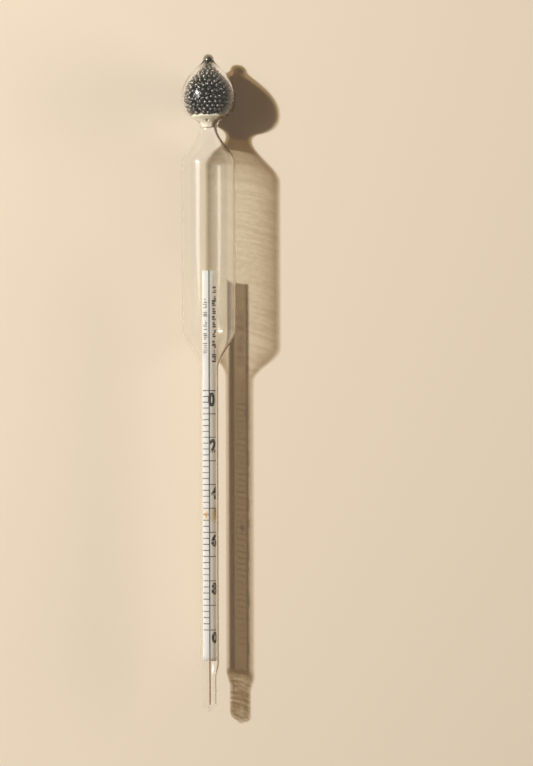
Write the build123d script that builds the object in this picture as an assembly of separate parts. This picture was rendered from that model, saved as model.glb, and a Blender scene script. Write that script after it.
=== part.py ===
from build123d import *

import math
import os

import numpy as np

# Glass hydrometer lying on its side: stem, float body and shot-filled ballast bulb.
#
# Millimetres, +Z up. Y runs along the glass, from the sealed tip of the stem (-Y) to the ballast
# bulb (+Y). The origin is on the surface that the glass lies on, under the middle of its length.

# The glass outline: diameters, and places along Y
LENGTH = 263.0
BODY_DIAMETER = 21.6
BULB_DIAMETER = 21.5
STEM_DIAMETER = 7.34
TIP_DIAMETER = 5.4
NECK_DIAMETER = 6.9
NIPPLE_DIAMETER = 4.3

BULB_END = LENGTH / 2
NIPPLE_START = BULB_END - NIPPLE_DIAMETER / 2
BULB_MIDDLE = BULB_END - 17.1
NECK = BULB_END - 29.6
BODY_TOP = NECK - 14.4
BODY_LENGTH = 65.6
BODY_FOOT = BODY_TOP - BODY_LENGTH
STEM_TOP = BODY_FOOT - 16.0
STEM_TIP = -LENGTH / 2
TIP_DOME = STEM_TIP + 3.8
TIP_LENGTH = 9.6
TIP_START = TIP_DOME + TIP_LENGTH
STEM_FOOT = TIP_START + 6.4
SEAL_DROP_DIAMETER = 1.6

# Glass thickness
STEM_WALL = 0.6
BODY_WALL = 0.8
BULB_WALL = 0.7
TIP_SEAL = 1.8
NIPPLE_BORE_DIAMETER = 2.9
NIPPLE_SEAL = 0.8

# Lead shot and the wad that holds it
SHOT_DIAMETER = 1.7
SHOT_SPACING = 1.78
SHOT_PACKING = 0.61
SHOT_GAP = 0.04
SETTLING_ROUNDS = 600
SETTLING_DRIFT = 0.03
TOP_UP_TRIES = 30000
NIPPLE_SHOTS = 3
NIPPLE_SHOT_STEP = 1.45
NIPPLE_SHOT_SIDE = 0.5
PLUG_TOP = NECK + 6.9
PLUG_RIM = NECK + 4.9
PLUG_RIM_DIAMETER = 14.0
PLUG_FOOT = NECK + 0.4
PLUG_GAP = 0.06
STRAY_SHOT_HEIGHT = NECK + 3.1
STRAY_SHOT_SIDE = -0.5
STRAY_SHOT_LIFT = 2.9
STRAY_SHOT_WINDOW = 0.55

# Rolled paper scale, its stay wire and the glue that holds it
PAPER_DIAMETER = 5.45
PAPER_THICKNESS = 0.15
PAPER_LENGTH = 156.0
PAPER_FOOT = STEM_FOOT + 0.6
PAPER_TOP = PAPER_FOOT + PAPER_LENGTH
PAPER_LAP_ANGLE = 40.0
PAPER_GAP = 0.04
WIRE_DIAMETER = 0.5
WIRE_GAP = 0.02
WIRE_TIP_LIFT = 1.3
WIRE_BEND_RADIUS = 12.0
WIRE_END = TIP_DOME - 0.9
GLUE_THICKNESS = 0.12

# The share of a quarter turn's length that makes a curve's handles follow a circle
ROUND_HOLD = 0.5523

# Worked out from the sizes above
AXIS_HEIGHT = BODY_DIAMETER / 2
STEM_BORE = STEM_DIAMETER / 2 - STEM_WALL
NIPPLE_SHOT_TOP = BULB_END - NIPPLE_SEAL - NIPPLE_BORE_DIAMETER / 2
SHOT_TOP = NIPPLE_SHOT_TOP - (NIPPLE_SHOTS - 1) * NIPPLE_SHOT_STEP
PAPER_DROP = STEM_BORE - PAPER_DIAMETER / 2 - PAPER_GAP
WIRE_LIFT = PAPER_DIAMETER / 2 - PAPER_DROP + WIRE_DIAMETER / 2 + WIRE_GAP


def s_curve(low, high, low_hold=1 / 3, high_hold=1 / 3):
    """A smooth change of radius between two (radius, Y) points that starts and ends along Y.

    Each hold is the share of the length over which that end keeps its direction.
    """
    rise = high[1] - low[1]
    return Bezier(
        low,
        (low[0], low[1] + low_hold * rise),
        (high[0], high[1] - high_hold * rise),
        high,
    )


def dome(rim, top):
    """A quarter of an ellipse from a (radius, Y) rim to a point on the axis at Y = top."""
    radius, foot = rim
    height = top - foot
    return Bezier(rim, (radius, foot + ROUND_HOLD * height), (radius * ROUND_HOLD, top), (0, top))


def turned(*curves):
    """The solid that a chain of (radius, Y) curves sweeps out about the glass's axis."""
    first = curves[0] @ 0
    last = curves[-1] @ 1
    corners = [(0, last.Y), (0, first.Y), (first.X, first.Y)]
    if last.X > 0:
        corners.insert(0, (last.X, last.Y))
    section = make_face([*curves, *Polyline(*corners).edges()])
    return Pos(0, 0, AXIS_HEIGHT) * revolve(section, axis=Axis.Y)


def on_axis(shape, along, side=0.0, lift=0.0):
    """A copy of a shape moved to Y = along, offset sideways and upwards from the glass's axis."""
    return Pos(side, along, AXIS_HEIGHT + lift) * shape


def lying_cylinder(radius, low, high, lift=0.0):
    """A cylinder along Y from low to high."""
    return on_axis(Rot(X=90) * Cylinder(radius, high - low), (low + high) / 2, lift=lift)


def stem_outline(inset):
    """The stem's outline from its joint with the body down to the start of the tip's dome."""
    stem = STEM_DIAMETER / 2 - inset
    tip = TIP_DIAMETER / 2 - inset
    return [
        Line((stem, STEM_TOP), (stem, STEM_FOOT)),
        s_curve((stem, STEM_FOOT), (tip, TIP_START)),
        Line((tip, TIP_START), (tip, TIP_DOME)),
    ]


def bulb_lower_outline(inset, neck_inset):
    """The bulb's wall from the neck up to the widest ring."""
    neck = (NECK_DIAMETER / 2 - neck_inset, NECK)
    return s_curve(neck, (BULB_DIAMETER / 2 - inset, BULB_MIDDLE), 0.4, 0.8)


def bulb_upper_outline(inset, nipple_radius, nipple_foot):
    """The bulb's wall from the widest ring up to the foot of the nipple."""
    widest = (BULB_DIAMETER / 2 - inset, BULB_MIDDLE)
    return s_curve(widest, (nipple_radius, nipple_foot), 0.6, 0.15)


def body_outline(inset):
    """The float body's outline from its joint with the stem, as thin as the stem, up to the neck."""
    stem = STEM_DIAMETER / 2 - min(inset, STEM_WALL)
    body = BODY_DIAMETER / 2 - inset
    neck = NECK_DIAMETER / 2 - inset
    return [
        s_curve((stem, STEM_TOP), (body, BODY_FOOT)),
        Line((body, BODY_FOOT), (body, BODY_TOP)),
        s_curve((body, BODY_TOP), (neck, NECK)),
    ]


def sealed_end():
    """The end of the tip: its rounded shoulder, and the drop of glass that seals it."""
    drop = SEAL_DROP_DIAMETER / 2
    tip = TIP_DIAMETER / 2
    drop_rim = (drop, STEM_TIP + drop)
    fall = TIP_DOME - drop_rim[1]
    shoulder = Bezier(
        (tip, TIP_DOME),
        (tip, TIP_DOME - 0.8 * fall),
        (drop + 0.3 * (tip - drop), drop_rim[1] + 0.1 * fall),
        drop_rim,
    )
    return [shoulder, dome(drop_rim, STEM_TIP)]


def stem_tube():
    """The graduated stem, with its drawn-down tip and the drop of glass that seals it."""
    bore_tip = (TIP_DIAMETER / 2 - STEM_WALL, TIP_DOME)
    bore = turned(*stem_outline(STEM_WALL), dome(bore_tip, STEM_TIP + TIP_SEAL))
    return turned(*stem_outline(0), *sealed_end()) - bore


def float_body():
    """The wide tube that floats the hydrometer, with a blown shoulder at each end."""
    return turned(*body_outline(0)) - turned(*body_outline(BODY_WALL))


def ballast_bulb():
    """The bulb that holds the shot, closed by a nipple where the glass was sealed."""
    nipple = NIPPLE_DIAMETER / 2
    outside = turned(
        bulb_lower_outline(0, 0),
        bulb_upper_outline(0, nipple, NIPPLE_START),
        dome((nipple, NIPPLE_START), BULB_END),
    )
    return outside - turned(*hollow_outline(0))


def hollow_outline(gap):
    """The bulb's inner wall from the neck to the blind end of the nipple's bore.

    A gap above zero gives the outline of what lies inside, that far from the glass.
    """
    bore = NIPPLE_BORE_DIAMETER / 2
    bore_foot = NIPPLE_START - bore
    bore_rim = BULB_END - NIPPLE_SEAL - bore
    return [
        bulb_lower_outline(BULB_WALL + gap, BODY_WALL + gap),
        bulb_upper_outline(BULB_WALL + gap, bore - gap, bore_foot),
        Line((bore - gap, bore_foot), (bore - gap, bore_rim)),
        dome((bore - gap, bore_rim), BULB_END - NIPPLE_SEAL - gap),
    ]


def plug_dome_radius():
    """The radius of the wad's round top, which bulges in among the shot."""
    height = PLUG_TOP - PLUG_RIM
    return (PLUG_RIM_DIAMETER**2 / 4 + height**2) / (2 * height)


def stray_shot():
    """The one ball that was pressed into the wad and shows through its side."""
    return on_axis(
        Sphere(SHOT_DIAMETER / 2), STRAY_SHOT_HEIGHT, side=STRAY_SHOT_SIDE, lift=STRAY_SHOT_LIFT
    )


def shot_plug():
    """The wad in the neck that keeps the shot in the bulb, shaped by the glass around it."""
    radius = plug_dome_radius()
    throat = turned(*hollow_outline(PLUG_GAP)) & lying_cylinder(BULB_DIAMETER, PLUG_FOOT, PLUG_RIM)
    cap = on_axis(Sphere(radius), PLUG_TOP - radius) & lying_cylinder(radius, PLUG_RIM, PLUG_TOP)
    window = Cylinder(STRAY_SHOT_WINDOW, BULB_DIAMETER, align=(Align.CENTER, Align.CENTER, Align.MIN))
    pocket = on_axis(
        Sphere(SHOT_DIAMETER / 2 + SHOT_GAP) + window,
        STRAY_SHOT_HEIGHT,
        side=STRAY_SHOT_SIDE,
        lift=STRAY_SHOT_LIFT,
    )
    return throat + cap - pocket


def reach_of_shot():
    """How far from the axis a ball's centre can lie, as matching lists of Y and radius."""
    clear = SHOT_DIAMETER / 2 + SHOT_GAP
    lower, upper, _, _ = hollow_outline(0)
    places = []
    for wall in (lower, upper):
        for share in np.linspace(0, 1, 60):
            point = wall @ share
            run = wall % share
            places.append((point.Y + clear * run.X, point.X - clear * run.Y))
    places.sort()
    return np.array(places).T


def shot_count(heights, reach):
    """The number of balls that fills the bulb to the stated packing."""
    slices = np.linspace(PLUG_RIM, SHOT_TOP, 200)
    room = np.trapezoid(np.pi * np.interp(slices, heights, reach) ** 2, slices)
    return round(SHOT_PACKING * room / (math.pi / 6 * SHOT_SPACING**3))


def pushed_apart(balls):
    """The balls after each pair that is closer than the spacing has moved apart a little."""
    apart = balls[:, None] - balls[None]
    distance = np.sqrt((apart**2).sum(axis=2)) + np.eye(len(balls)) * BULB_DIAMETER
    push = np.clip(SHOT_SPACING - distance, 0, None) / distance
    return balls + 0.4 * (apart * push[:, :, None]).sum(axis=1)


def kept_inside(balls, heights, reach):
    """The balls after each one that had left the space between glass and wad has come back."""
    wad_radius = plug_dome_radius()
    from_wad = balls - np.array([0, PLUG_TOP - wad_radius, 0])
    wad_reach = wad_radius + SHOT_DIAMETER / 2 + SHOT_GAP
    wad_distance = np.sqrt((from_wad**2).sum(axis=1))
    balls = balls + from_wad * (np.clip(wad_reach / wad_distance, 1, None) - 1)[:, None]
    balls[:, 1] = np.clip(balls[:, 1], PLUG_RIM, SHOT_TOP)
    off_axis = np.hypot(balls[:, 0], balls[:, 2])
    allowed = np.clip(np.interp(balls[:, 1], heights, reach), 0, None)
    balls[:, [0, 2]] *= np.minimum(1, allowed / np.maximum(off_axis, 1e-9))[:, None]
    return balls


def nipple_shot():
    """Centres (side, along, lift) of the balls up in the nipple, on its two sides in turn."""
    centres = []
    for number in range(NIPPLE_SHOTS):
        along = NIPPLE_SHOT_TOP - number * NIPPLE_SHOT_STEP
        centres.append((NIPPLE_SHOT_SIDE * (-1) ** number, along, 0))
    return centres


def settled_shot():
    """Centres (side, along, lift) of balls shaken into the bulb until none is too close.

    The balls start at random places and drift outwards at first, so that they line the glass.
    Those that end up against the balls in the nipple are left out. More go in at the glass after
    that, wherever one still fits.
    """
    heights, reach = reach_of_shot()
    chance = np.random.default_rng(7)
    middle = np.array([0, BULB_MIDDLE, 0])
    balls = middle + chance.uniform(-1, 1, (shot_count(heights, reach), 3)) * BULB_DIAMETER / 3
    for turn in range(SETTLING_ROUNDS):
        drift = SETTLING_DRIFT * max(0, 1 - 2 * turn / SETTLING_ROUNDS)
        outward = (balls - middle) / (BULB_DIAMETER / 2)
        balls = balls + drift * outward * np.sqrt((outward**2).sum(axis=1))[:, None]
        balls = kept_inside(pushed_apart(balls), heights, reach)
    kept = spaced_out([*nipple_shot(), *balls])
    return topped_up(kept, heights, reach, chance)


def spaced_out(balls):
    """The balls that are left when each one that still touches an earlier one is taken out."""
    kept = []
    for ball in balls:
        if all(math.dist(ball, other) > SHOT_DIAMETER + SHOT_GAP / 2 for other in kept):
            kept.append(ball)
    return kept


def topped_up(balls, heights, reach, chance):
    """The balls, and more against the glass at random places that are clear of all the others."""
    wad_radius = plug_dome_radius()
    wad_middle = (0, PLUG_TOP - wad_radius, 0)
    wad_reach = wad_radius + SHOT_DIAMETER / 2 + SHOT_GAP
    filled = np.array(balls)
    for along, turn in chance.uniform((PLUG_RIM, 0), (SHOT_TOP, math.tau), (TOP_UP_TRIES, 2)):
        out = np.interp(along, heights, reach)
        ball = np.array([out * math.cos(turn), along, out * math.sin(turn)])
        nearest = np.sqrt(((filled - ball) ** 2).sum(axis=1)).min()
        if nearest > SHOT_DIAMETER + SHOT_GAP and math.dist(ball, wad_middle) > wad_reach:
            filled = np.vstack([filled, ball])
    return filled.tolist()


def ballast_shot():
    """All the lead balls: those that fill the bulb and its nipple, and the stray one."""
    ball = Sphere(SHOT_DIAMETER / 2)
    balls = [on_axis(ball, along, side=side, lift=lift) for side, along, lift in settled_shot()]
    balls.append(stray_shot())
    return Compound(children=balls)


def paper_scale():
    """The scale: a strip of paper rolled into a tube whose edge laps under itself."""
    outer = PAPER_DIAMETER / 2
    middle = (PAPER_FOOT + PAPER_TOP) / 2
    ring = Circle(outer) - Circle(outer - PAPER_THICKNESS)
    lap_ring = Circle(outer - PAPER_THICKNESS) - Circle(outer - 2 * PAPER_THICKNESS)
    reach = PAPER_DIAMETER
    half_lap = math.radians(PAPER_LAP_ANGLE / 2)
    wedge = Polygon(
        (0, 0),
        (-reach * math.sin(half_lap), reach * math.cos(half_lap)),
        (reach * math.sin(half_lap), reach * math.cos(half_lap)),
        align=None,
    )
    roll = extrude(ring + (lap_ring & wedge), PAPER_LENGTH / 2, both=True)
    return on_axis(Rot(X=90) * roll, middle, lift=-PAPER_DROP)


def stay_wire():
    """The fine wire along the top of the roll, which runs on down into the tip of the stem."""
    route = FilletPolyline(
        (0, PAPER_TOP, WIRE_LIFT),
        (0, PAPER_FOOT - 0.5, WIRE_LIFT),
        (0, TIP_START, WIRE_TIP_LIFT),
        (0, WIRE_END, WIRE_TIP_LIFT),
        radius=WIRE_BEND_RADIUS,
    )
    end = Plane(origin=route @ 0, z_dir=route % 0)
    return on_axis(sweep(end * Circle(WIRE_DIAMETER / 2), path=route), 0)


def glue_dab(low, high, start_angle, width_angle):
    """A thin dab of glue on the paper, from low to high along Y.

    The angles are measured round the roll, from +X towards +Z.
    """
    inner = PAPER_DIAMETER / 2
    ring = Circle(inner + GLUE_THICKNESS) - Circle(inner)
    reach = PAPER_DIAMETER
    corners = [(0, 0)]
    for share in (0, 0.5, 1):
        angle = math.radians(start_angle + share * width_angle)
        corners.append((reach * math.cos(angle), reach * math.sin(angle)))
    patch = extrude(ring & Polygon(*corners, align=None), (high - low) / 2, both=True)
    return on_axis(Rot(X=90) * patch, (low + high) / 2, lift=-PAPER_DROP)


def glue_dabs():
    """The dabs of glue that hold the paper to the inside of the stem, on the right and left."""
    middle = (STEM_TOP + STEM_FOOT) / 2
    return Compound(
        children=[
            glue_dab(middle - 1.2, middle + 3.9, 14, 42),
            glue_dab(middle - 2.2, middle + 2.1, 102, 50),
        ]
    )


PIECES = {
    "stem_tube": stem_tube,
    "float_body": float_body,
    "ballast_bulb": ballast_bulb,
    "ballast_shot": ballast_shot,
    "shot_plug": shot_plug,
    "paper_scale": paper_scale,
    "stay_wire": stay_wire,
    "glue_dabs": glue_dabs,
}

os.makedirs("parts", exist_ok=True)
for name, build in PIECES.items():
    export_step(build(), f"parts/{name}.step")
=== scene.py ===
"""The looks of a sealed glass hydrometer that lies on its side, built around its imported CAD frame.

Metres. +Y runs along the glass from the stem's sealed tip to the ballast bulb, and +Z is up.
"""
import logging
import math
import random
from dataclasses import dataclass, field
from enum import Enum
from typing import Sequence

import bmesh
import bpy
import numpy as np
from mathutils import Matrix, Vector, noise


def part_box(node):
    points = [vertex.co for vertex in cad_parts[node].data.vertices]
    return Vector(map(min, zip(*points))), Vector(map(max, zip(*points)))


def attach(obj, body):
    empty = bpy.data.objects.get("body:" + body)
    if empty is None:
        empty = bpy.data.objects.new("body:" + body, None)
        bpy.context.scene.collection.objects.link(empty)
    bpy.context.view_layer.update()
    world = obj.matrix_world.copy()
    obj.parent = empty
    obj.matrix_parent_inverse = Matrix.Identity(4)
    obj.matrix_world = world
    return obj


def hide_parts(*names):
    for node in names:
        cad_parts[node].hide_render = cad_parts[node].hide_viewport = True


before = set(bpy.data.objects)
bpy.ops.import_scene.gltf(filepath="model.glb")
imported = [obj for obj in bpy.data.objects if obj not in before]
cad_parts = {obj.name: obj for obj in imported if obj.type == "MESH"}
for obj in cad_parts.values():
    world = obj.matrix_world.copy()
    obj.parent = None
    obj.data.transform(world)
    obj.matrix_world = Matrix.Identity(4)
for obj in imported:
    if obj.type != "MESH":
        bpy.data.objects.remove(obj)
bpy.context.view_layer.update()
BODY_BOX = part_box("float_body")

MM = 0.001
ROOT = "root"
AXIS_HEIGHT = (BODY_BOX[0].z + BODY_BOX[1].z) / 2
LAMP_SIDE = -0.75
LAMP_RISE = 0.66
LOG = logging.getLogger("hydrometer")

Colour = tuple[float, float, float]
Point = tuple[float, float]
Span = tuple[float, float]
Triple = tuple[float, float, float]


class Value:
    """A number that varies over a surface: an output socket on which Python's operators work."""

    def __init__(self, graph: "Graph", socket: bpy.types.NodeSocket) -> None:
        """Keep the graph that the socket belongs to, so that operators can add nodes to it."""
        self.graph = graph
        self.socket = socket

    def apply(self, operation: str, *others: "Value | float") -> "Value":
        """Add a Math node that has this value as its first operand, and return its result."""
        return self.graph.math(operation, self, *others)

    def __add__(self, other: "Value | float") -> "Value":
        """self + other."""
        return self.apply("ADD", other)

    __radd__ = __add__

    def __sub__(self, other: "Value | float") -> "Value":
        """self - other."""
        return self.apply("SUBTRACT", other)

    def __rsub__(self, other: float) -> "Value":
        """other - self."""
        return self.graph.math("SUBTRACT", other, self)

    def __mul__(self, other: "Value | float") -> "Value":
        """self * other."""
        return self.apply("MULTIPLY", other)

    __rmul__ = __mul__

    def __truediv__(self, other: "Value | float") -> "Value":
        """self / other."""
        return self.apply("DIVIDE", other)

    def __pow__(self, other: float) -> "Value":
        """self ** other."""
        return self.apply("POWER", other)

    def __abs__(self) -> "Value":
        """abs(self)."""
        return self.apply("ABSOLUTE")


class Graph:
    """The node tree of one material, whose shader finish wires to the output."""

    def __init__(self, name: str) -> None:
        """Make an empty material of that name."""
        self.material = bpy.data.materials.new(name)
        self.material.use_nodes = True
        self.tree = self.material.node_tree
        self.tree.nodes.clear()
        self.output = self.tree.nodes.new("ShaderNodeOutputMaterial")

    def feed(self, socket: bpy.types.NodeSocket, value: object) -> None:
        """Link an input to a Value or an output socket, or set what it holds when unlinked."""
        if isinstance(value, Value):
            value = value.socket
        if isinstance(value, bpy.types.NodeSocket):
            self.tree.links.new(value, socket)
        elif socket.type == "RGBA" and len(value) == 3:
            socket.default_value = (*value, 1.0)
        else:
            socket.default_value = value

    def node(self, kind: str, settings: dict | None = None, **inputs: object) -> bpy.types.Node:
        """Add one node.

        Args:
            kind: The node's type.
            settings: What is set on the node before its inputs.
            inputs: Socket names, with underscores for spaces, and their values or links.
        """
        made = self.tree.nodes.new(kind)
        for name, value in (settings or {}).items():
            setattr(made, name, value)
        for name, value in inputs.items():
            self.feed(made.inputs[name.replace("_", " ")], value)
        return made

    def math(self, operation: str, *operands: Value | float) -> Value:
        """Add a Math node on these values or plain numbers, and return its result."""
        made = self.node("ShaderNodeMath", {"operation": operation})
        for socket, operand in zip(made.inputs, operands):
            self.feed(socket, operand)
        return Value(self, made.outputs[0])

    def mix(self, factor: Value, low: object, high: object) -> bpy.types.NodeSocket:
        """Blend two colours, given as numbers or sockets; factor is the share of the second."""
        made = self.node("ShaderNodeMix", {"data_type": "RGBA"})
        for index, value in ((0, factor), (6, low), (7, high)):
            self.feed(made.inputs[index], value)
        return made.outputs[2]

    def place(self, stretch: Triple = (1.0, 1.0, 1.0)) -> bpy.types.NodeSocket:
        """Where a point lies in the row frame, in metres, with each axis stretched."""
        where = self.node("ShaderNodeTexCoord").outputs["Object"]
        made = self.node("ShaderNodeVectorMath", {"operation": "MULTIPLY"})
        self.feed(made.inputs[0], where)
        self.feed(made.inputs[1], stretch)
        return made.outputs[0]

    def axis(self, name: str) -> Value:
        """One of a point's coordinates, X, Y or Z, in metres."""
        return Value(self, self.node("ShaderNodeSeparateXYZ", Vector=self.place()).outputs[name])

    def grain(
        self, size: float, detail: float = 2.0, stretch: Triple = (1.0, 1.0, 1.0)
    ) -> Value:
        """Soft noise from 0 to 1.

        Args:
            size: The width of one blot, in metres.
            detail: How many finer layers it has.
            stretch: How much finer it is along each axis.
        """
        made = self.node(
            "ShaderNodeTexNoise", Vector=self.place(stretch), Scale=1 / size, Detail=detail
        )
        return Value(self, made.outputs["Fac"])

    def step(self, value: Value, low: float, high: float) -> Value:
        """A smooth rise from 0 to 1.

        Args:
            value: What it depends on.
            low: The value at which it is 0.
            high: The value at which it is 1, which may be the smaller of the two.
        """
        made = self.node(
            "ShaderNodeMapRange",
            {"interpolation_type": "SMOOTHSTEP"},
            Value=value,
            From_Min=low,
            From_Max=high,
        )
        return Value(self, made.outputs["Result"])

    def lit_half(self) -> Value:
        """1 on the half of the hydrometer that faces the key lamp, and 0 on the half behind it."""
        rise = (self.axis("Z") - AXIS_HEIGHT) * LAMP_RISE
        return self.step(self.axis("X") * LAMP_SIDE + rise, -0.15 * MM, 0.15 * MM)

    def bump(self, height: Value, depth: float) -> bpy.types.NodeSocket:
        """A normal for relief that is depth metres deep where height goes from 0 to 1."""
        return self.node("ShaderNodeBump", Distance=depth, Height=height).outputs["Normal"]

    def principled(self, **inputs: object) -> bpy.types.NodeSocket:
        """Add the Principled shader with these inputs, and return its output."""
        return self.node("ShaderNodeBsdfPrincipled", **inputs).outputs["BSDF"]

    def see_through(self, colour: Colour) -> bpy.types.NodeSocket:
        """Add a shader that lets light pass straight on, tinted by a colour."""
        return self.node("ShaderNodeBsdfTransparent", Color=colour).outputs[0]

    def mix_shaders(self, factor: Value, low: object, high: object) -> bpy.types.NodeSocket:
        """Mix two shaders, given as sockets; factor is the share of the second."""
        made = self.node("ShaderNodeMixShader")
        for index, value in enumerate((factor, low, high)):
            self.feed(made.inputs[index], value)
        return made.outputs[0]

    def finish(self, shader: bpy.types.NodeSocket) -> bpy.types.Material:
        """Wire a shader to the output, and return the finished material."""
        self.tree.links.new(shader, self.output.inputs["Surface"])
        return self.material


@dataclass(frozen=True)
class ClearGlass:
    """Lamp-blown glass: faintly rippled, and dimming the lamps' light most where it curves away,
    with painted shadow added by place.
    """

    tint: Colour = (1.0, 1.0, 0.995)
    # Painted shade: the sealed nipple's glass is tinted dark, standing in for how dark its thick
    # glass looks seen edge-on.
    seal_painted_shade: Colour = (0.35, 0.34, 0.29)
    seal_start: float = 125 * MM
    seal_end: float = 129 * MM
    ior: float = 1.38
    sheen: float = 0.45
    sheen_ior: float = 1.35
    sheen_roughness: float = 0.14
    ripple_size: float = 9 * MM
    ripple_depth: float = 0.003 * MM
    ripple_stretch: Triple = (1.0, 0.35, 1.0)
    lamp_share: Colour = (0.99, 0.985, 0.96)
    lamp_share_at_rim: Colour = (0.3, 0.235, 0.12)
    streak_size: float = 1.1 * MM
    band_stretch: Triple = (0.08, 1.0, 0.12)
    base_share: float = 0.05
    streak_share: float = 0.07
    rim_share: float = 0.345
    stem_rim_share: float = 0.145
    stem_top: float = 6 * MM
    stem_share: float = 0.08
    tip_top: float = -111 * MM
    tip_share: float = 0.1
    tip_streak_share: float = 0.14
    shoulder_low: float = 76 * MM
    shoulder_high: float = 92.5 * MM
    shoulder_share: float = 0.07
    neck_low: float = 96.5 * MM
    neck_high: float = 106 * MM
    bulb_low: float = 111 * MM
    neck_share: float = 1.0
    underside: float = 3.6 * MM
    underside_edge: Span = (-1.3 * MM, -2.0 * MM)
    underside_fade: float = 0.4 * MM
    stem_fade: float = 4 * MM
    edge_fade: float = 1 * MM
    streak_contrast: Span = (0.4, 0.62)
    strength: float = 2.0

    def shade(self, graph: Graph) -> Value:
        """How much the glass dims a lamp's light where the light leaves it, from 0 to 1."""
        facing = Value(graph, graph.node("ShaderNodeLayerWeight", Blend=0.5).outputs["Facing"])
        side, along, height = (graph.axis(name) for name in "XYZ")
        # Painted shadow: extra dimming at the stem, tip, shoulder, neck and bulb, caustic-like
        # streaks, and no dimming under the left side near the floor shape the cast shadow by place.
        stem = graph.step(along, self.stem_top + self.stem_fade, self.stem_top - self.stem_fade)
        fade = self.edge_fade
        tip = graph.step(along, self.tip_top + fade, self.tip_top - fade)
        shoulder = graph.step(along, self.shoulder_low, self.shoulder_high)
        neck = graph.step(along, self.neck_low - fade, self.neck_low + fade)
        neck = neck * graph.step(along, self.neck_high + fade, self.neck_high - fade)
        neck = neck + graph.step(along, self.bulb_low - fade, self.bulb_low + fade)
        fine = graph.grain(self.streak_size)
        bands = graph.grain(self.streak_size, 2.0, self.band_stretch)
        streaks = graph.step(fine * 0.5 + bands * 0.5, *self.streak_contrast)
        left = graph.step(side, *self.underside_edge)
        under = graph.step(height, self.underside, self.underside - self.underside_fade) * left
        leaving = 1.0 - graph.lit_half()
        rim = self.rim_share + (self.stem_rim_share - self.rim_share) * stem
        streaks = streaks * (self.streak_share + self.tip_streak_share * tip)
        shade = facing * rim + self.base_share + streaks
        shade = shade + self.stem_share * stem + self.tip_share * tip
        shade = shade + self.shoulder_share * shoulder + self.neck_share * neck
        return (self.strength * shade * leaving * (1.0 - under)).apply("MINIMUM", 1.0)

    def material(self) -> bpy.types.Material:
        """Build the glass, and return the finished material."""
        graph = Graph("clear_glass")
        ripple = graph.grain(self.ripple_size, 1.0, self.ripple_stretch)
        # Painted shade: the glass is tinted dark from seal_start to seal_end at the nipple.
        sealed = graph.step(graph.axis("Y"), self.seal_start, self.seal_end)
        body = graph.principled(
            Base_Color=graph.mix(sealed, self.tint, self.seal_painted_shade),
            Transmission_Weight=1.0,
            IOR=self.ior,
            Roughness=0.0,
            Coat_Weight=self.sheen,
            Coat_IOR=self.sheen_ior,
            Coat_Roughness=self.sheen_roughness,
            Normal=graph.bump(ripple, self.ripple_depth),
        )
        path = graph.node("ShaderNodeLightPath").outputs
        diffuse_ray = Value(graph, path["Is Diffuse Ray"])
        lamp_ray = Value(graph, path["Is Shadow Ray"]).apply("MAXIMUM", diffuse_ray)
        lit = graph.mix_shaders(lamp_ray, body, graph.see_through(self.lamp_share_at_rim))
        passing = lamp_ray * (1.0 - self.shade(graph))
        return graph.finish(graph.mix_shaders(passing, lit, graph.see_through(self.lamp_share)))


@dataclass(frozen=True)
class LeadShot:
    """Graphited lead: dark balls with a soft metal shine and a dull, uneven skin."""

    bright: Colour = (0.19, 0.18, 0.16)
    dull: Colour = (0.06, 0.058, 0.055)
    blot_size: float = 0.7 * MM

    def material(self) -> bpy.types.Material:
        """Build the lead, and return the finished material."""
        graph = Graph("lead_shot")
        skin = graph.grain(self.blot_size, 3.0)
        worn = graph.step(skin, 0.4, 0.65)
        shader = graph.principled(
            Base_Color=graph.mix(worn, self.dull, self.bright),
            Metallic=1.0,
            Roughness=0.38 + 0.1 * skin,
            Normal=graph.bump(skin, 0.01 * MM),
        )
        return graph.finish(shader)


@dataclass(frozen=True)
class CottonWad:
    """A wad of cotton wool, yellowed with age, with fine crossing fibres."""

    light: Colour = (0.98, 0.93, 0.82)
    dark: Colour = (0.9, 0.8, 0.62)
    fibre_size: float = 0.3 * MM

    def material(self) -> bpy.types.Material:
        """Build the wad's cotton, and return the finished material."""
        graph = Graph("cotton_wad")
        fibres = graph.grain(self.fibre_size, 4.0, (3.0, 0.6, 1.0))
        blots = graph.grain(6 * self.fibre_size, 2.0)
        pale = graph.step(fibres * 0.5 + blots * 0.5, 0.35, 0.62)
        shader = graph.principled(
            Base_Color=graph.mix(pale, self.dark, self.light),
            Roughness=0.82 + 0.15 * fibres,
            Normal=graph.bump(fibres, 0.12 * MM),
            Sheen_Weight=0.3,
        )
        return graph.finish(shader)


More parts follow.
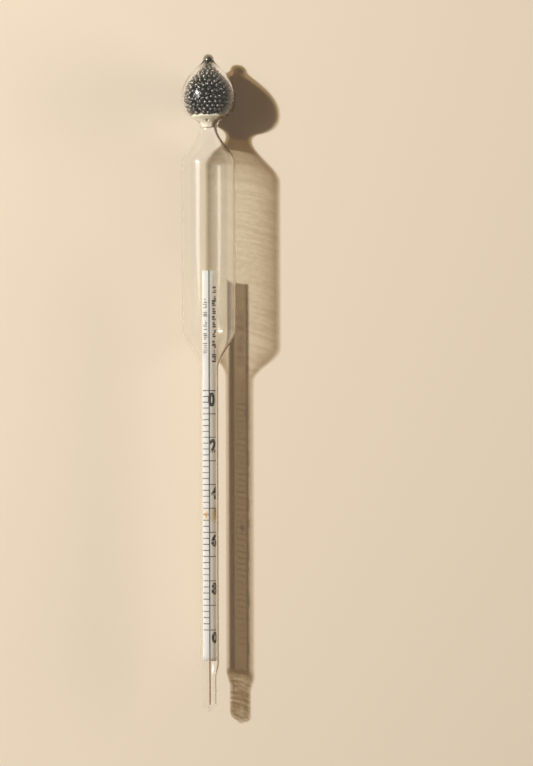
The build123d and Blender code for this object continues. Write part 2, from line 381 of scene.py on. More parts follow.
@dataclass(frozen=True)
class ScalePaper:
    """Thin rag paper that light shines into, aged in patches and stained by the glue."""

    sheet: Colour = (0.82, 0.83, 0.84)
    aged: Colour = (0.8, 0.72, 0.58)
    clear: Colour = (1.0, 1.0, 1.0)
    stain: Colour = (0.62, 0.38, 0.13)
    stain_place: float = -52.5 * MM
    stain_reach: float = 4.5 * MM
    stain_edge: Span = (0.6 * MM, 2.2 * MM)
    fibre_size: float = 0.25 * MM
    blot_size: float = 1.25 * MM
    cloud_size: float = 5 * MM
    lamp_share: Colour = (0.51, 0.46, 0.395)

    def material(self) -> bpy.types.Material:
        """Build the paper, and return the finished material."""
        graph = Graph("scale_paper")
        fibres = graph.grain(self.fibre_size, 4.0, (1.0, 0.5, 1.0))
        clouds = graph.grain(self.cloud_size, 3.0)
        reach = abs(graph.axis("Y") - self.stain_place) / self.stain_reach
        blots = graph.grain(self.blot_size, 3.0)
        soaked = graph.step(blots * 1.3 + clouds * 0.5 - reach, 0.05, 0.6)
        # The stain is stronger towards +X.
        right = graph.step(graph.axis("X"), *self.stain_edge)
        age = graph.step(clouds, 0.5, 0.85) * 0.35 + fibres * 0.08
        plain = graph.mix(age, self.sheet, self.aged)
        colour = graph.mix(soaked * (0.3 + 0.65 * right), plain, self.stain)
        shader = graph.principled(
            Base_Color=colour,
            Roughness=0.78 + 0.15 * fibres,
            Normal=graph.bump(fibres, 0.01 * MM),
            Subsurface_Weight=0.9,
            Subsurface_Radius=(1.0, 0.9, 0.75),
            Subsurface_Scale=1.3 * MM,
        )
        lamp_ray = Value(graph, graph.node("ShaderNodeLightPath").outputs["Is Shadow Ray"])
        lit = graph.mix_shaders(lamp_ray, shader, graph.see_through(self.lamp_share))
        passing = lamp_ray * (1.0 - graph.lit_half())
        return graph.finish(graph.mix_shaders(passing, lit, graph.see_through(self.clear)))


@dataclass(frozen=True)
class PrintInk:
    """Letterpress ink: dark, a little worn where the paper's fibres stand proud."""

    name: str = "print_ink"
    solid: Colour = (0.01, 0.009, 0.008)
    worn: Colour = (0.05, 0.038, 0.025)
    speck_size: float = 0.35 * MM

    def material(self) -> bpy.types.Material:
        """Build the ink, and return the finished material."""
        graph = Graph(self.name)
        specks = graph.grain(self.speck_size, 3.0)
        shader = graph.principled(
            Base_Color=graph.mix(graph.step(specks, 0.48, 0.72), self.solid, self.worn),
            Roughness=0.55 + 0.3 * specks,
            Normal=graph.bump(specks, 0.005 * MM),
        )
        return graph.finish(shader)


@dataclass(frozen=True)
class BrownedWire:
    """Drawn wire: dark along the scale, and warmed to brown where the tip was sealed."""

    dark: Colour = (0.05, 0.048, 0.042)
    brown: Colour = (0.2, 0.08, 0.015)
    rust: Colour = (0.16, 0.08, 0.03)
    rust_size: float = 1.2 * MM
    brown_below: float = -110.5 * MM
    brown_fade: float = 1.5 * MM
    drawing_size: float = 0.12 * MM
    lamp_share: Colour = (0.95, 0.95, 0.94)

    def material(self) -> bpy.types.Material:
        """Build the wire's finish, and return the finished material."""
        graph = Graph("browned_wire")
        marks = graph.grain(self.drawing_size, 3.0, (1.0, 0.08, 1.0))
        rusted = graph.step(graph.grain(self.rust_size, 3.0), 0.5, 0.75)
        brown_above = self.brown_below + self.brown_fade
        heated = graph.step(graph.axis("Y"), brown_above, self.brown_below)
        shade = graph.mix(heated, self.dark, self.brown)
        shader = graph.principled(
            Base_Color=graph.mix(rusted * 0.5, shade, self.rust),
            Metallic=0.1,
            Roughness=0.5 + 0.25 * marks,
            Normal=graph.bump(marks, 0.01 * MM),
        )
        lamp_ray = Value(graph, graph.node("ShaderNodeLightPath").outputs["Is Shadow Ray"])
        return graph.finish(graph.mix_shaders(lamp_ray, shader, graph.see_through(self.lamp_share)))


@dataclass(frozen=True)
class AmberGlue:
    """Old animal glue: amber to red-brown, glossy where it pooled and crazed where thin."""

    thin: Colour = (0.72, 0.47, 0.2)
    thick: Colour = (0.32, 0.11, 0.03)
    pool_size: float = 1.3 * MM

    def material(self) -> bpy.types.Material:
        """Build the glue, and return the finished material."""
        graph = Graph("amber_glue")
        pools = graph.grain(self.pool_size, 3.0)
        crazing = graph.grain(0.2 * self.pool_size, 2.0)
        shader = graph.principled(
            Base_Color=graph.mix(graph.step(pools, 0.42, 0.62), self.thin, self.thick),
            Roughness=0.22 + 0.3 * crazing,
            Normal=graph.bump(crazing, 0.02 * MM),
        )
        return graph.finish(shader)


@dataclass(frozen=True)
class FloorCard:
    """A plain pale card with the faintest tooth."""

    colour: Colour = (0.845, 0.725, 0.585)
    tooth_size: float = 0.6 * MM

    def material(self) -> bpy.types.Material:
        """Build the card, and return the finished material."""
        graph = Graph("floor_card")
        tooth = graph.grain(self.tooth_size, 3.0)
        darker = tuple(0.985 * share for share in self.colour)
        shader = graph.principled(
            Base_Color=graph.mix(tooth, darker, self.colour),
            Roughness=0.85 + 0.1 * tooth,
            Specular_IOR_Level=0.2,
            Normal=graph.bump(tooth, 0.004 * MM),
        )
        return graph.finish(shader)


def bezier(corners: Sequence[Point], steps: int) -> np.ndarray:
    """Points along a cubic curve.

    Args:
        corners: The four control points, as (radius, place along Y).
        steps: The number of stretches between the points.

    Returns:
        An array of steps + 1 rows of (radius, Y).
    """
    share = np.linspace(0.0, 1.0, steps + 1)[:, None]
    first, second, third, last = (np.array(corner) for corner in corners)
    rest = 1.0 - share
    near = rest**3 * first + 3 * rest**2 * share * second
    return near + 3 * rest * share**2 * third + share**3 * last


def s_curve(
    low: Point, high: Point, low_hold: float = 1 / 3, high_hold: float = 1 / 3, steps: int = 32
) -> np.ndarray:
    """A change of radius that starts and ends along the axis.

    Args:
        low: The (radius, Y) that it starts from.
        high: The (radius, Y) that it ends at.
        low_hold: The share of the length over which the start keeps its direction.
        high_hold: The same for the end.
        steps: The number of stretches.
    """
    rise = high[1] - low[1]
    start = (low[0], low[1] + low_hold * rise)
    end = (high[0], high[1] - high_hold * rise)
    return bezier((low, start, end, high), steps)


def dome(rim: Point, top: float, steps: int = 20) -> np.ndarray:
    """A quarter of an ellipse from a rim, given as (radius, Y), to the axis at Y = top."""
    turn = np.linspace(0.0, math.pi / 2, steps + 1)
    points = np.stack([rim[0] * np.cos(turn), rim[1] + (top - rim[1]) * np.sin(turn)], axis=1)
    points[-1, 0] = 0.0
    return points


def chained(*curves: np.ndarray) -> np.ndarray:
    """One outline from curves that each start where the one before ends."""
    return np.concatenate([curves[0]] + [curve[1:] for curve in curves[1:]])


def turned(
    profile: np.ndarray, height: float, sides: int, inward: bool = False
) -> tuple[list[Vector], list[tuple[int, ...]]]:
    """The surface that a profile sweeps out about a line along Y.

    Args:
        profile: Rows of (radius, Y), from the low end to the high end.
        height: The line's height above the floor.
        sides: The number of faces around.
        inward: True where the surface faces the line, as the inside of a tube does.

    Returns:
        The points and the faces, each face as indices of points.
    """
    points, rings = [], []
    for radius, along in profile:
        count = 1 if radius < 1e-9 else sides
        rings.append(range(len(points), len(points) + count))
        for side in range(count):
            turn = 2 * math.pi * side / sides
            points.append(Vector((radius * math.sin(turn), along, height + radius * math.cos(turn))))
    faces = []
    for low, high in zip(rings, rings[1:]):
        for side in range(sides):
            after = (side + 1) % sides
            near = (low[side % len(low)], low[after % len(low)])
            far = (high[after % len(high)], high[side % len(high)])
            face = tuple(dict.fromkeys(near + far))
            faces.append(face[::-1] if inward else face)
    return points, faces


class Maker:
    """What every sub-assembly does with the meshes that it builds."""

    def piece(
        self,
        name: str,
        points: Sequence[Vector],
        faces: Sequence[tuple[int, ...]],
        material: bpy.types.Material,
        slot: str | None,
        replaces: Sequence[str] = (),
    ) -> None:
        """Turn points and faces into a piece that rides on the hydrometer.

        Args:
            name: The piece's name.
            points: Its points in the row frame.
            faces: Its faces, as indices of points.
            material: Its material.
            slot: Not used.
            replaces: The CAD nodes that it stands for.
        """
        mesh = bpy.data.meshes.new(name)
        mesh.from_pydata(points, [], faces)
        mesh.validate()
        mesh.shade_smooth()
        mesh.materials.append(material)
        made = bpy.data.objects.new(name, mesh)
        bpy.context.scene.collection.objects.link(made)
        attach(made, ROOT)
        if replaces:
            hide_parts(*replaces)
        LOG.info("%s: %d faces", name, len(mesh.polygons))


@dataclass
class GlassEnvelope(Maker):
    """The stem, the float body and the bulb, fused into one closed glass with two surfaces."""

    stem_wall: float = 0.6 * MM
    body_wall: float = 0.8 * MM
    bulb_wall: float = 0.7 * MM
    neck_radius: float = 3.45 * MM
    tip_radius: float = 2.7 * MM
    tip_length: float = 9.6 * MM
    tip_dome: float = 3.8 * MM
    tip_taper: float = 6.4 * MM
    tip_seal: float = 1.8 * MM
    drop_radius: float = 0.8 * MM
    lower_shoulder: float = 16.0 * MM
    upper_shoulder: float = 14.4 * MM
    bulb_middle: float = 17.1 * MM
    nipple_radius: float = 2.15 * MM
    nipple_bore: float = 1.45 * MM
    nipple_seal: float = 0.8 * MM
    bulb_holds: tuple[Span, Span] = ((0.4, 0.8), (0.6, 0.15))
    curve_steps: int = 40
    bulb_steps: int = 48
    sides: int = 160
    finish: ClearGlass = field(default_factory=ClearGlass)

    def __post_init__(self) -> None:
        """Take the places and radii that the CAD frame fixes."""
        stem_low, stem_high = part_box("stem_tube")
        body_low, body_high = BODY_BOX
        bulb_low, bulb_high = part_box("ballast_bulb")
        self.stem_radius = (stem_high.x - stem_low.x) / 2
        self.body_radius = (body_high.x - body_low.x) / 2
        self.bulb_radius = (bulb_high.x - bulb_low.x) / 2
        self.tip, self.stem_top = stem_low.y, stem_high.y
        self.neck, self.bulb_end = body_high.y, bulb_high.y

    def stem_outline(self, inset: float) -> list[np.ndarray]:
        """The stem from its tip's dome up to the body, inset by so much from the outer surface."""
        dome_rim = self.tip + self.tip_dome
        taper_low = dome_rim + self.tip_length
        taper_high = taper_low + self.tip_taper
        tip, stem = self.tip_radius - inset, self.stem_radius - inset
        return [
            np.array([(tip, dome_rim), (tip, taper_low)]),
            s_curve((tip, taper_low), (stem, taper_high)),
            np.linspace((stem, taper_high), (stem, self.stem_top), 24),
        ]

    def body_outline(self, inset: float) -> list[np.ndarray]:
        """The float body from the stem up to the neck, inset by so much in the same way."""
        stem = self.stem_radius - min(inset, self.stem_wall)
        body, neck = self.body_radius - inset, self.neck_radius - inset
        foot = self.stem_top + self.lower_shoulder
        top = self.neck - self.upper_shoulder
        return [
            s_curve((stem, self.stem_top), (body, foot), steps=self.curve_steps),
            np.linspace((body, foot), (body, top), 16),
            s_curve((body, top), (neck, self.neck), steps=self.curve_steps),
        ]

    def bulb_outline(
        self, inset: float, neck_inset: float, nipple: float, foot: float
    ) -> list[np.ndarray]:
        """The bulb from the neck up to its nipple.

        Args:
            inset: How far inside the outer surface it lies at the widest ring.
            neck_inset: The same at the neck.
            nipple: The radius that it ends at.
            foot: The place along Y that it ends at.
        """
        widest = (self.bulb_radius - inset, self.bulb_end - self.bulb_middle)
        neck = (self.neck_radius - neck_inset, self.neck)
        rise, close = self.bulb_holds
        return [
            s_curve(neck, widest, *rise, self.bulb_steps),
            s_curve(widest, (nipple, foot), *close, self.bulb_steps),
        ]

    def sealed_tip(self) -> list[np.ndarray]:
        """The drop of glass at the very tip, and the rounded shoulder above it."""
        drop_rim = (self.drop_radius, self.tip + self.drop_radius)
        rim = (self.tip_radius, self.tip + self.tip_dome)
        fall = rim[1] - drop_rim[1]
        near = (drop_rim[0] + 0.3 * (rim[0] - drop_rim[0]), drop_rim[1] + 0.1 * fall)
        shoulder = bezier((drop_rim, near, (rim[0], rim[1] - 0.8 * fall), rim), 24)
        return [dome(drop_rim, self.tip)[::-1], shoulder]

    def outside(self) -> np.ndarray:
        """The whole outer outline, from the sealed tip to the end of the nipple."""
        nipple_foot = self.bulb_end - self.nipple_radius
        return chained(
            *self.sealed_tip(),
            *self.stem_outline(0.0),
            *self.body_outline(0.0),
            *self.bulb_outline(0.0, 0.0, self.nipple_radius, nipple_foot),
            dome((self.nipple_radius, nipple_foot), self.bulb_end),
        )

    def inside(self) -> np.ndarray:
        """The whole inner outline, from the blind end in the tip to the one in the nipple."""
        blind = (self.tip_radius - self.stem_wall, self.tip + self.tip_dome)
        bore_foot = self.bulb_end - self.nipple_radius - self.nipple_bore
        bore_rim = (self.nipple_bore, self.bulb_end - self.nipple_seal - self.nipple_bore)
        return chained(
            dome(blind, self.tip + self.tip_seal)[::-1],
            *self.stem_outline(self.stem_wall),
            *self.body_outline(self.body_wall),
            *self.bulb_outline(self.bulb_wall, self.body_wall, self.nipple_bore, bore_foot),
            np.array([(self.nipple_bore, bore_foot), bore_rim]),
            dome(bore_rim, self.bulb_end - self.nipple_seal),
        )

    def inner_radius(self, along: float) -> float:
        """The inner wall's radius at a place along Y."""
        profile = self.inside()
        return float(np.interp(along, profile[:, 1], profile[:, 0]))

    def build(self) -> None:
        """Make the glass as one piece."""
        points, faces = turned(self.outside(), AXIS_HEIGHT, self.sides)
        inner_points, inner_faces = turned(self.inside(), AXIS_HEIGHT, self.sides, inward=True)
        shift = len(points)
        faces += [tuple(corner + shift for corner in face) for face in inner_faces]
        nodes = ("stem_tube", "float_body", "ballast_bulb")
        glass = self.finish.material()
        self.piece("glass_envelope", points + inner_points, faces, glass, "clear_glass", nodes)


@dataclass
class Ballast(Maker):
    """The lead shot in the bulb and the wad of cotton that holds it there."""

    glass: GlassEnvelope
    wad_top: float = 6.8 * MM
    wad_rim: float = 4.85 * MM
    wad_foot: float = 0.4 * MM
    wad_gap: float = 0.08 * MM
    wad_roughness: float = 0.07 * MM
    wad_steps: int = 24
    wad_sides: int = 96
    tuft_sizes: Span = (0.9 * MM, 0.35 * MM)
    pit_radius: float = 0.55 * MM
    pit_floor: float = 0.2 * MM
    out_of_round: float = 0.03
    seed: int = 11

    def ball_places(self) -> tuple[list[Vector], float]:
        """Find the centre of each CAD ball, and the balls' radius."""
        cad = bmesh.new()
        cad.from_mesh(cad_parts["ballast_shot"].data)
        bmesh.ops.remove_doubles(cad, verts=cad.verts, dist=1e-7)
        waiting = set(cad.verts)
        centres, radius = [], 0.0
        while waiting:
            group, edge = [], [waiting.pop()]
            while edge:
                vertex = edge.pop()
                group.append(vertex.co)
                near = {link.other_vert(vertex) for link in vertex.link_edges} & waiting
                waiting -= near
                edge.extend(near)
            spread = np.array(group)
            low, high = spread.min(axis=0), spread.max(axis=0)
            centres.append(Vector((low + high) / 2))
            radius = max(radius, float((high - low).max()) / 2)
        cad.free()
        return centres, radius

    def shot(self) -> list[Vector]:
        """Make the balls, each slightly out of round, and return their centres from the wad up."""
        chance = random.Random(self.seed)
        centres, radius = self.ball_places()
        balls = bmesh.new()
        for centre in centres:
            made = bmesh.ops.create_icosphere(balls, subdivisions=2, radius=radius)["verts"]
            squash = 1.0 - self.out_of_round * chance.random()
            axis = Vector(chance.uniform(-1, 1) for _ in range(3)).normalized()
            for vertex in made:
                along = vertex.co.dot(axis)
                vertex.co += axis * along * (squash - 1.0) + centre
        points = [vertex.co.copy() for vertex in balls.verts]
        faces = [tuple(vertex.index for vertex in face.verts) for face in balls.faces]
        balls.free()
        self.piece("lead_shot", points, faces, LeadShot().material(), "lead", ["ballast_shot"])
        return sorted(centres, key=lambda place: place.y)

    def wad(self, stray: Vector) -> None:
        """Make the wad, pressed in at its side where the stray ball has its centre."""
        neck = self.glass.neck
        walls = []
        for along in np.linspace(neck + self.wad_foot, neck + self.wad_rim, self.wad_steps):
            walls.append((self.glass.inner_radius(along) - self.wad_gap, along))
        rim = walls[-1]
        floor = np.array([(0.0, walls[0][1]), walls[0]])
        crown = dome(rim, neck + self.wad_top, self.wad_steps)
        points, faces = turned(chained(floor, np.array(walls), crown), AXIS_HEIGHT, self.wad_sides)
        coarse, fine = self.tuft_sizes
        for point in points:
            outward = Vector((point.x, 0.0, point.z - AXIS_HEIGHT))
            tuft = noise.noise(point / coarse) + 0.5 * noise.noise(point / fine)
            inward = self.wad_roughness * max(0.0, 0.6 + tuft)
            if outward.length > 1e-9:
                point -= outward.normalized() * inward
            if point.y > rim[1]:
                point.y -= inward
            beside = math.hypot(point.x - stray.x, point.y - stray.y)
            if beside < self.pit_radius and point.z > stray.z:
                cup = (1.0 - beside / self.pit_radius) ** 0.5
                point.z -= cup * max(0.0, point.z - stray.z - self.pit_floor)
        self.piece("cotton_wad", points, faces, CottonWad().material(), "cotton_wad", ["shot_plug"])

    def build(self) -> None:
        """Make the shot and the wad."""
        centres = self.shot()
        self.wad(centres[0])


@dataclass(frozen=True)
class Column:
    """One column of strokes that stand for small print."""

    sides: Span
    start: float
    end: float
    weight: float


@dataclass(frozen=True)
class Pool:
    """One pool of glue: its place beside the roll's top, its shift along Y, and its reach."""

    side: float
    shift: float
    reach: float


@dataclass
class PaperScale(Maker):
    """The rolled strip of paper, its printed lines and figures, and the wire along it."""

    thickness: float = 0.15 * MM
    lap: float = math.radians(40)
    tuck_turn: float = 0.12
    tuck_share: float = 1.1
    roll_turns: int = 132
    roll_rings: int = 90
    cut_depth: float = 0.07 * MM
    cut_size: float = 0.8 * MM
    first_line: float = -3.1 * MM
    long_step: float = 9.56 * MM
    long_count: int = 11
    short_per_long: int = 4
    line_width: float = 0.33 * MM
    line_lift: float = 0.012 * MM
    line_waver: float = 0.06 * MM
    line_piece: float = 0.18 * MM
    short_span: Span = (-2.45 * MM, -0.2 * MM)
    long_span: Span = (-2.45 * MM, 2.5 * MM)
    figures: str = "024680"
    figure_drop: float = 0.75 * MM
    figure_middle: float = 2.0 * MM
    figure_skew: float = 1.05 * MM
    figure_settling: float = 0.75
    figure_arc: float = 2.6 * MM
    figure_height: float = 5.6 * MM
    figure_shrink: float = 0.2 * MM
    figure_weight: float = 0.035
    figure_smoothness: int = 6
    figure_spread: float = 0.13 * MM
    crowding: float = 0.032 * MM
    columns: tuple[Column, ...] = (
        Column((-2.35 * MM, -0.75 * MM), 33.6 * MM, 11.5 * MM, 1.0),
        Column((1.15 * MM, 2.8 * MM), 38.5 * MM, 13.2 * MM, 1.8),
    )
    pools: tuple[Pool, ...] = (
        Pool(2.35 * MM, 0.4 * MM, 2.3 * MM),
        Pool(-1.3 * MM, -0.6 * MM, 1.7 * MM),
    )
    pool_spokes: int = 40
    pool_rings: Triple = (0.45, 0.8, 1.0)
    pool_squash: float = 0.42
    pool_crown: float = 0.1 * MM
    pool_edge: float = 0.014 * MM
    seed: int = 5

    def __post_init__(self) -> None:
        """Take the roll's place and size from the CAD frame."""
        low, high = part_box("paper_scale")
        self.radius = (high.x - low.x) / 2
        self.height = (low.z + high.z) / 2
        self.foot, self.top = low.y, high.y

    def on_roll(self, arc: float, along: float, lift: float = 0.0) -> Vector:
        """A point on the roll.

        Args:
            arc: How far round the paper it is from the top of the roll, in metres, towards +X.
            along: Its place along Y.
            lift: How far it stands above the paper.
        """
        turn = arc / self.radius
        reach = self.radius + lift
        return Vector((reach * math.sin(turn), along, self.height + reach * math.cos(turn)))

    def arc_at(self, side: float) -> float:
        """How far round the paper, from its top, the point at X = side is."""
        return self.radius * math.asin(max(-1.0, min(1.0, side / self.radius)))

    def line_place(self, number: float) -> float:
        """Where along Y the long line of that number is; the lines crowd a little at mid scale."""
        shift = self.crowding * number * (self.long_count - 1 - number)
        return self.first_line - number * self.long_step + shift

    def roll(self) -> None:
        """Make the rolled strip, whose edge laps under itself beneath the scale."""
        round_and_lap = 2 * math.pi + self.lap
        turns = np.linspace(0.0, round_and_lap, self.roll_turns) + math.pi - self.lap / 2
        section = []
        for lift in (0.0, -self.thickness):
            side = []
            for turn in turns:
                past = turn - turns[0] - 2 * math.pi + self.tuck_turn
                under = min(1.0, max(0.0, past) / self.tuck_turn)
                reach = self.radius + lift - under * self.tuck_share * self.thickness
                side.append((reach * math.sin(turn), reach * math.cos(turn)))
            section.append(side)
        loop = section[0] + section[1][::-1]
        stations = np.linspace(self.foot, self.top, self.roll_rings)
        points, faces = [], []
        for number, along in enumerate(stations):
            for side, up in loop:
                cut = 0.0
                if number in (0, len(stations) - 1):
                    place = Vector((side, up, number)) / self.cut_size
                    cut = self.cut_depth * noise.noise(place)
                inward = -abs(cut) if number else abs(cut)
                points.append(Vector((side, along + inward, self.height + up)))
        count = len(loop)
        for number in range(len(stations) - 1):
            for index in range(count):
                after = (index + 1) % count
                low, high = number * count, (number + 1) * count
                faces.append((low + index, low + after, high + after, high + index))
        half = count // 2
        for start, flip in ((0, True), ((len(stations) - 1) * count, False)):
            for index in range(half - 1):
                near, far = start + index, start + count - 1 - index
                face = (near, near + 1, far - 1, far)
                faces.append(face[::-1] if flip else face)
        paper = ScalePaper().material()
        self.piece("paper_roll", points, faces, paper, "scale_paper", ["paper_scale"])

    def strip(self, points: list, faces: list, span: Span, along: Span) -> None:
        """Add one printed stroke, with its ends round the paper (span) and along Y."""
        steps = max(2, round(abs(span[1] - span[0]) / self.line_piece))
        start = len(points)
        for share in np.linspace(0.0, 1.0, steps + 1):
            arc = span[0] + share * (span[1] - span[0])
            points.append(self.on_roll(arc, along[0], self.line_lift))
            points.append(self.on_roll(arc, along[1], self.line_lift))
        for step in range(steps):
            low = start + 2 * step
            faces.append((low, low + 2, low + 3, low + 1))

    def lines(self) -> None:
        """Print the scale: a long line at each step and shorter ones between, left of the wire."""
        chance = random.Random(self.seed)
        points, faces = [], []
        for number in range((self.long_count - 1) * self.short_per_long + 1):
            long = number % self.short_per_long == 0
            span = self.long_span if long else self.short_span
            waver = self.line_waver
            ends = tuple(self.arc_at(side) + chance.uniform(-waver, waver) for side in span)
            middle = self.line_place(number / self.short_per_long)
            half = self.line_width / 2 * chance.uniform(0.85, 1.15)
            self.strip(points, faces, ends, (middle - half, middle + half))
        ink = PrintInk(name="line_ink", solid=(0.05, 0.04, 0.03))
        self.piece("scale_lines", points, faces, ink.material(), None)

    def figure(self, text: str, number: int) -> tuple[list[Vector], list[tuple[int, ...]]]:
        """One figure, struck twice side by side and bent round the roll below a long line."""
        curve = bpy.data.curves.new("figure", "FONT")
        curve.body = text
        curve.offset = self.figure_weight
        curve.resolution_u = self.figure_smoothness
        holder = bpy.data.objects.new("figure", curve)
        bpy.context.scene.collection.objects.link(holder)
        bpy.context.view_layer.update()
        finished = holder.evaluated_get(bpy.context.evaluated_depsgraph_get())
        mesh = bpy.data.meshes.new_from_object(finished)
        bpy.data.objects.remove(holder)
        bpy.data.curves.remove(curve)
        flat = bmesh.new()
        flat.from_mesh(mesh)
        bpy.data.meshes.remove(mesh)
        bmesh.ops.triangulate(flat, faces=flat.faces)
        bmesh.ops.subdivide_edges(flat, edges=flat.edges, cuts=2, use_grid_fill=True)
        spread = np.array([vertex.co for vertex in flat.verts])
        low, high = spread.min(axis=0), spread.max(axis=0)
        skew = self.figure_skew * math.exp(-self.figure_settling * number)
        middle = self.arc_at(self.figure_middle - skew)
        height = self.figure_height - self.figure_shrink * number
        line = self.line_place(2 * number)
        points, faces = [], []
        for strike in (-1, 1):
            start = len(points)
            for vertex in flat.verts:
                across = (vertex.co.x - low[0]) / (high[0] - low[0]) - 0.5
                up = (vertex.co.y - high[1]) / (high[1] - low[1])
                along = line - self.figure_drop + up * height
                arc = middle + across * self.figure_arc + strike * self.figure_spread
                points.append(self.on_roll(arc, along, self.line_lift * (1.0 + 0.2 * strike)))
            faces += [tuple(start + vertex.index for vertex in face.verts) for face in flat.faces]
        flat.free()
        return points, faces

    def numbering(self) -> None:
        """Print a figure below every second long line."""
        points, faces = [], []
        for number, text in enumerate(self.figures):
            new_points, new_faces = self.figure(text, number)
            shift = len(points)
            points += new_points
            faces += [tuple(corner + shift for corner in face) for face in new_faces]
        self.piece("scale_figures", points, faces, PrintInk().material(), None)

    def captions(self) -> None:
        """Print two columns of short strokes above the scale, which stand for small print."""
        chance = random.Random(self.seed)
        points, faces = [], []
        for column in self.columns:
            left, right = column.sides
            along = column.start
            while along > column.end:
                for _ in range(chance.randint(2, 6)):
                    low = left + chance.choice((0.0, 0.15, 0.5)) * (right - left)
                    high = right - chance.choice((0.0, 0.1, 0.35)) * (right - left)
                    ends = (self.arc_at(low), self.arc_at(high))
                    stroke = column.weight * chance.uniform(0.16, 0.4) * MM
                    self.strip(points, faces, ends, (along - stroke, along))
                    along -= stroke + chance.uniform(0.28, 0.55) / column.weight * MM
                along -= chance.uniform(0.5, 1.3) * MM
        ink = PrintInk(name="caption_ink", solid=(0.03, 0.027, 0.024), worn=(0.16, 0.14, 0.115))
        self.piece("caption_strokes", points, faces, ink.material(), None)

    def glue(self) -> None:
        """Make the dabs of glue: thin irregular pools where the CAD has its plain patches."""
        low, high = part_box("glue_dabs")
        points, faces = [], []
        for pool in self.pools:
            middle = (low.y + high.y) / 2 + pool.shift
            centre = self.arc_at(pool.side)
            start = len(points)
            points.append(self.on_roll(centre, middle, self.pool_crown))
            for ring in self.pool_rings:
                for spoke in range(self.pool_spokes):
                    turn = 2 * math.pi * spoke / self.pool_spokes
                    place = Vector((math.cos(turn), math.sin(turn), pool.side / MM)) * 1.7
                    size = ring * (0.75 + 0.45 * noise.noise(place)) * pool.reach
                    arc = centre + self.pool_squash * size * math.cos(turn)
                    lift = (1.0 - ring**3) * 0.8 * self.pool_crown + self.pool_edge
                    points.append(self.on_roll(arc, middle + size * math.sin(turn), lift))
            for spoke in range(self.pool_spokes):
                after = (spoke + 1) % self.pool_spokes
                faces.append((start, start + 1 + after, start + 1 + spoke))
                for ring in range(len(self.pool_rings) - 1):
                    inner = start + 1 + ring * self.pool_spokes
                    outer = inner + self.pool_spokes
                    faces.append((inner + spoke, inner + after, outer + after, outer + spoke))
        self.piece("glue_pools", points, faces, AmberGlue().material(), "amber_glue", ["glue_dabs"])

    def wire(self) -> None:
        """Give the CAD wire its finish."""
        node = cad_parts["stay_wire"]
        node.data.materials.clear()
        node.data.materials.append(BrownedWire().material())
        for face in node.data.polygons:
            face.use_smooth = True

    def build(self) -> None:
        """Make the roll, its print, the glue and the wire."""
        self.roll()
        self.lines()
        self.numbering()
        self.captions()
        self.glue()
        self.wire()


class LampShape(Enum):
    """The outline of a lamp's shining face."""

    DISK = "DISK"
    RECTANGLE = "RECTANGLE"


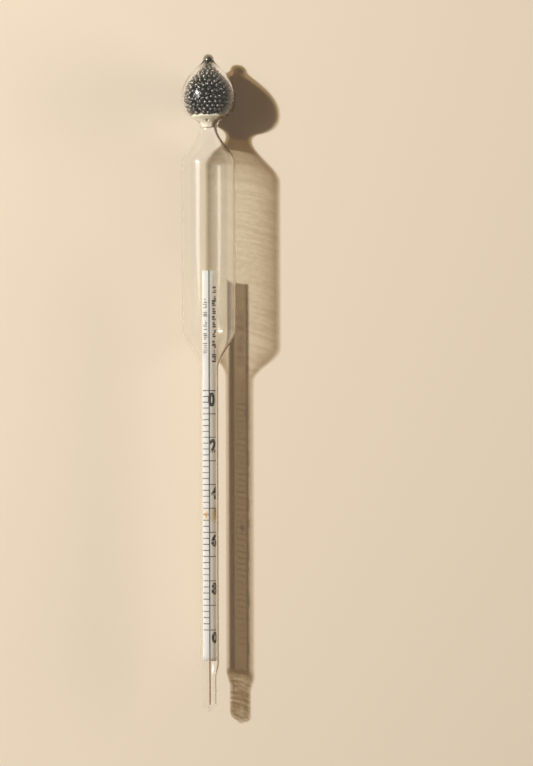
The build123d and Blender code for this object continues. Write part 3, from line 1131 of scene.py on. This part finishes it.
@dataclass
class Studio:
    """The card that the hydrometer lies on, the lights and the camera."""

    card_size: float = 6.0
    card_gap: float = 0.05 * MM
    key_way: Triple = (-1.1, 0.42, 1.0)
    key_distance: float = 2.0
    key_size: float = 0.072
    key_power: float = 48.0
    key_colour: Colour = (0.98, 0.975, 0.94)
    strip_place: Triple = (-1.1, 0.2, 1.0)
    strip_size: Span = (0.24, 0.44)
    strip_power: float = 1.0
    strip_colour: Colour = (1.0, 0.98, 0.95)
    bounce_place: Triple = (1.6, 0.0, 0.32)
    bounce_size: Span = (1.0, 0.3)
    bounce_power: float = 14.0
    bounce_colour: Colour = (1.0, 0.92, 0.82)
    fill: Colour = (0.06, 0.03, 0.008)
    reflected_room: Colour = (0.45, 0.41, 0.36)
    camera_place: Triple = (22.9 * MM, -0.1 * MM, 1.458)
    camera_roll: float = -0.0026
    lens: float = 170.0

    def card(self) -> None:
        """Lay the card under the glass."""
        half = self.card_size / 2
        corners = [(-half, -half), (half, -half), (half, half), (-half, half)]
        mesh = bpy.data.meshes.new("floor_card")
        mesh.from_pydata([(x, y, -self.card_gap) for x, y in corners], [], [(0, 1, 2, 3)])
        mesh.materials.append(FloorCard().material())
        made = bpy.data.objects.new("floor_card", mesh)
        bpy.context.scene.collection.objects.link(made)

    def lamp(
        self,
        name: str,
        shape: LampShape,
        size: Span,
        power: float,
        place: Vector,
        colour: Colour,
        mirrored: bool = True,
    ) -> None:
        """Hang one lamp that shines at the middle of the hydrometer.

        Args:
            name: The lamp's name.
            shape: Its outline.
            size: Its size along Y, and its size across.
            power: Its power in watts.
            place: Where it hangs.
            colour: The colour of its light.
            mirrored: True if it shows in the glass as a highlight.
        """
        light = bpy.data.lights.new(name, "AREA")
        light.shape = shape.value
        light.size, light.size_y = size
        light.energy = power
        light.color = colour
        made = bpy.data.objects.new(name, light)
        made.location = place
        made.rotation_euler = place.to_track_quat("Z", "Y").to_euler()
        made.visible_glossy = mirrored
        made.visible_transmission = mirrored
        bpy.context.scene.collection.objects.link(made)

    def lamps(self) -> None:
        """Hang the key lamp and the strip, and set the faint light from all round."""
        key_place = Vector(self.key_way).normalized() * self.key_distance
        self.lamp(
            "key_lamp",
            LampShape.DISK,
            (self.key_size, self.key_size),
            self.key_power,
            key_place,
            self.key_colour,
        )
        self.lamp(
            "strip_lamp",
            LampShape.RECTANGLE,
            self.strip_size,
            self.strip_power,
            Vector(self.strip_place),
            self.strip_colour,
        )
        self.lamp(
            "bounce_card",
            LampShape.RECTANGLE,
            self.bounce_size,
            self.bounce_power,
            Vector(self.bounce_place),
            self.bounce_colour,
            mirrored=False,
        )
        world = bpy.data.worlds.new("studio")
        world.use_nodes = True
        tree = world.node_tree
        colour = tree.nodes.new("ShaderNodeMix")
        colour.data_type = "RGBA"
        colour.inputs[6].default_value = (*self.fill, 1.0)
        colour.inputs[7].default_value = (*self.reflected_room, 1.0)
        path = tree.nodes.new("ShaderNodeLightPath")
        tree.links.new(path.outputs["Is Glossy Ray"], colour.inputs[0])
        tree.links.new(colour.outputs[2], tree.nodes["Background"].inputs["Color"])
        bpy.context.scene.world = world

    def camera(self) -> None:
        """Set the camera straight above, a little to the right of the glass."""
        data = bpy.data.cameras.new("camera")
        data.lens = self.lens
        data.clip_start = 0.01
        made = bpy.data.objects.new("camera", data)
        made.location = self.camera_place
        made.rotation_euler = (0.0, 0.0, self.camera_roll)
        bpy.context.scene.collection.objects.link(made)
        bpy.context.scene.camera = made

    def build(self) -> None:
        """Set up the whole studio."""
        self.card()
        self.lamps()
        self.camera()
        bpy.context.scene.view_settings.view_transform = "Standard"


def main() -> None:
    """Build the hydrometer and its studio."""
    logging.basicConfig(level=logging.INFO, format="%(message)s")
    glass = GlassEnvelope()
    glass.build()
    Ballast(glass).build()
    PaperScale().build()
    Studio().build()


if __name__ == "__main__":
    main()
